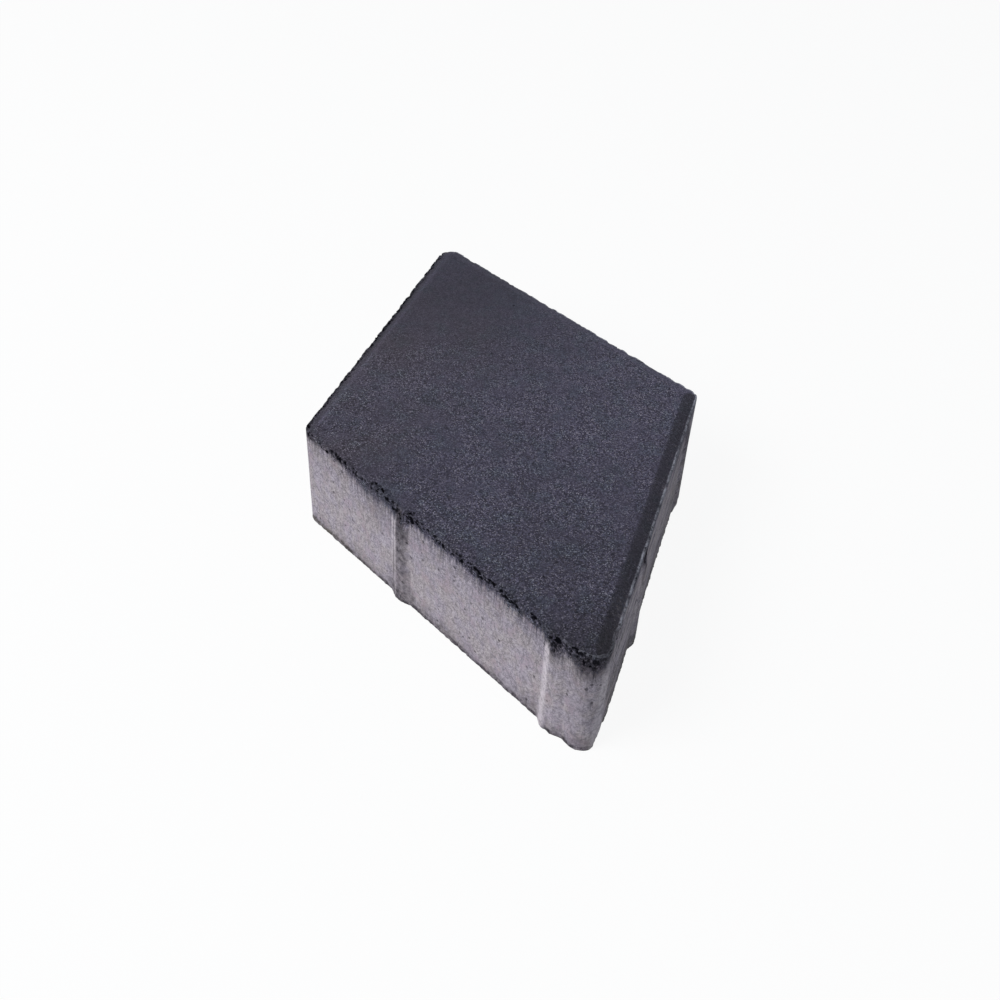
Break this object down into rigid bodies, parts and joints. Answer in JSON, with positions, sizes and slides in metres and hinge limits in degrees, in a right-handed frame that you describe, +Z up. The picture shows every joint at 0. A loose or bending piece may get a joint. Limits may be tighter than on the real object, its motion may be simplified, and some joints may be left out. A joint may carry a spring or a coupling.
{
  "type": "concrete paving stone",
  "caption": "Rhombus concrete paving stone with a dark bevelled facing layer, a grey backing and upright spacer ribs on its sides.",
  "frame": {"origin": "centre of the underside, on the ground", "axes": "+X along the long diagonal of the rhombus, +Y along the short one, +Z up out of the wearing face"},
  "size_m": [0.3452, 0.2056, 0.06],
  "materials": {
    "facing_concrete": "fine-grained charcoal facing mix, matt, with small pale sand grains and open pores along the rim",
    "backing_concrete": "mauve-grey pressed concrete, matt, with fine upright drag marks, small pores and a rough dark lower edge"
  },
  "bodies": {
    "root": {"facing_layer": "facing_concrete", "backing_layer": "backing_concrete"}
  },
  "joints": []
}
